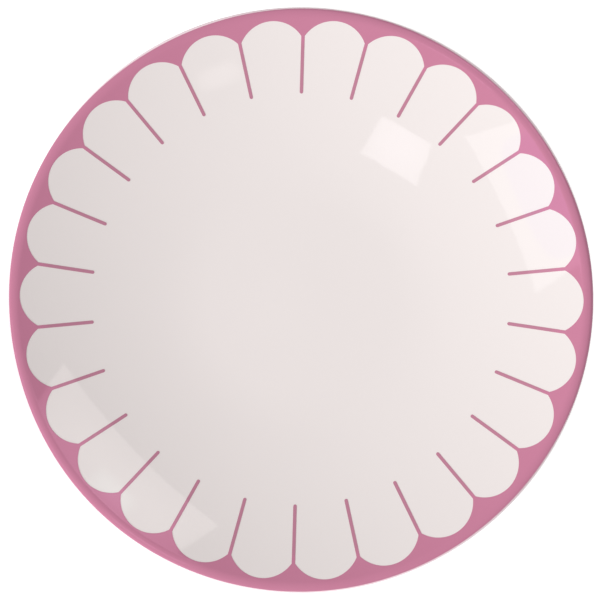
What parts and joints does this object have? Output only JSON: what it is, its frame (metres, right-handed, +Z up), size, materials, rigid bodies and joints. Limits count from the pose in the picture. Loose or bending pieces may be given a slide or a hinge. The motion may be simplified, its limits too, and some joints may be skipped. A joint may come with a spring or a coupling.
{
  "type": "breakfast plate",
  "caption": "Round dished plate with no separate rim, on a foot ring, with white glaze and a pink scalloped border whose fine strokes run in between the petals.",
  "frame": {"origin": "on the plate's axis, on the plane that its foot ring stands on", "axes": "+Z up along the plate's axis, out of the dish; +X through the middle of a petal of the border"},
  "size_m": [0.2148, 0.215, 0.0217],
  "materials": {
    "biscuit_porcelain": "matt, bare and finely grained, shown only on the standing face of the foot ring",
    "white_glaze": "glossy warm white glaze",
    "pink_border": "glossy fired-on pink print"
  },
  "bodies": {
    "root": {"porcelain_body": "biscuit_porcelain", "glaze_coat": "white_glaze", "base_glaze": "white_glaze", "scallop_border": "pink_border"}
  },
  "joints": []
}
